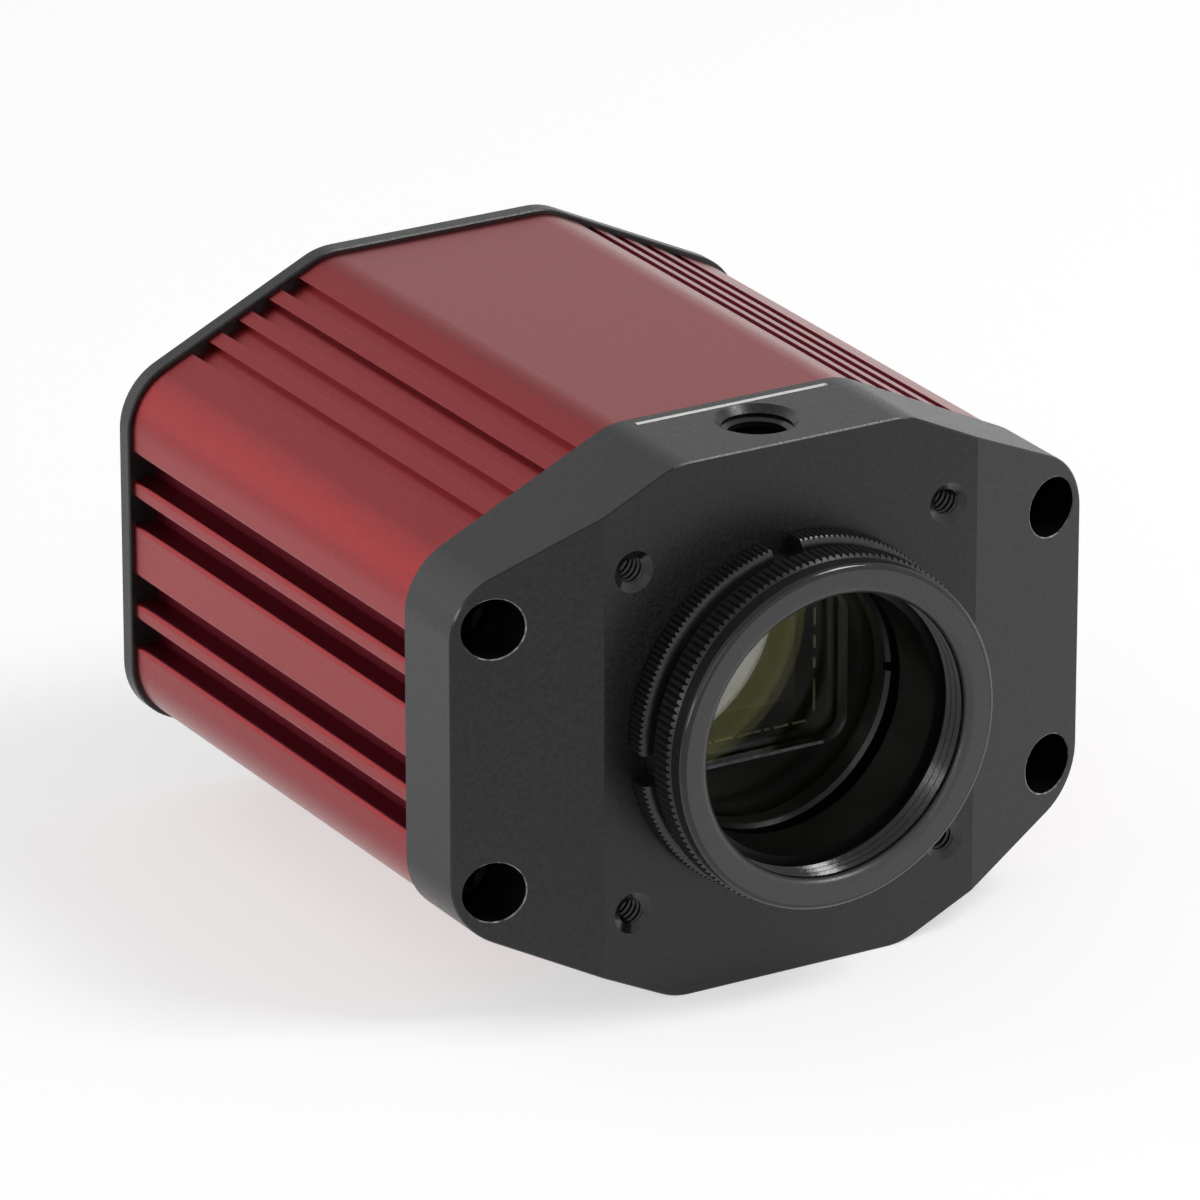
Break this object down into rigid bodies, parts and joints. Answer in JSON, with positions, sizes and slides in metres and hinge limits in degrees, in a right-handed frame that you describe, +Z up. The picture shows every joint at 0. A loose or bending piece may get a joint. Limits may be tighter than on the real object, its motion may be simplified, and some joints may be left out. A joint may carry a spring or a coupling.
{
  "type": "scientific camera",
  "caption": "Compact scientific camera with a threaded lens mount and lock ring, cage and post taps, a finned red housing and rear connectors.",
  "frame": {"origin": "centre of the four cage taps on the front plate's flat face, on the optical axis", "axes": "-Y towards the scene that the camera looks at, +Z up, +X to the right seen from the lens side"},
  "size_m": [0.0604, 0.0704, 0.047],
  "materials": {
    "black_anodised": "bead-blasted, black anodised",
    "red_anodised": "fine blasted, red anodised",
    "black_steel": "black oxide",
    "bright_steel": "plated",
    "window_glass": "polished and coated",
    "seal_rubber": "matt",
    "pad_rubber": "matt",
    "silicon": "polished",
    "ceramic": "fired, with gold pads",
    "board_green": "solder mask",
    "spacer_brass": "nickel plated",
    "nickel_brass": "nickel plated",
    "gold_brass": "gold plated",
    "black_plastic": "moulded",
    "lamp_plastic": "clear"
  },
  "bodies": {
    "camera_body": {"front_plate": "black_anodised", "rear_plate": "black_anodised", "window_retaining_ring": "black_anodised", "housing": "red_anodised", "front_plate_screws": "black_steel", "rear_plate_screws": "black_steel", "protective_window": "window_glass", "sensor_lid": "window_glass", "window_seal": "seal_rubber", "gap_pad": "pad_rubber", "sensor_die": "silicon", "sensor_package": "ceramic", "sensor_board": "board_green", "processing_board": "board_green", "power_board": "board_green", "interface_board": "board_green", "board_spacers": "spacer_brass", "board_screws": "bright_steel", "board_links": "black_plastic", "image_processor": "black_plastic", "memory_chips": "black_plastic", "data_connector_shell": "bright_steel", "data_connector_tongue": "black_plastic", "data_connector_nuts": "nickel_brass", "trigger_connector_shell": "nickel_brass", "trigger_connector_insert": "black_plastic", "trigger_connector_pins": "gold_brass", "trigger_connector_nut": "nickel_brass", "status_lamp": "lamp_plastic"},
    "lens_adapter": {"lens_adapter": "black_anodised"},
    "lock_ring": {"lock_ring": "black_anodised"}
  },
  "joints": [
    {"name": "adapter_turn", "type": "hinge", "parent": "camera_body", "child": "lens_adapter", "pos_m": [0, 0, 0], "axis": [0, -1, 0], "range_deg": [-360, 720]},
    {"name": "lock_ring_turn", "type": "hinge", "parent": "lens_adapter", "child": "lock_ring", "pos_m": [0, 0, 0], "axis": [0, -1, 0], "range_deg": [0, 680]}
  ]
}
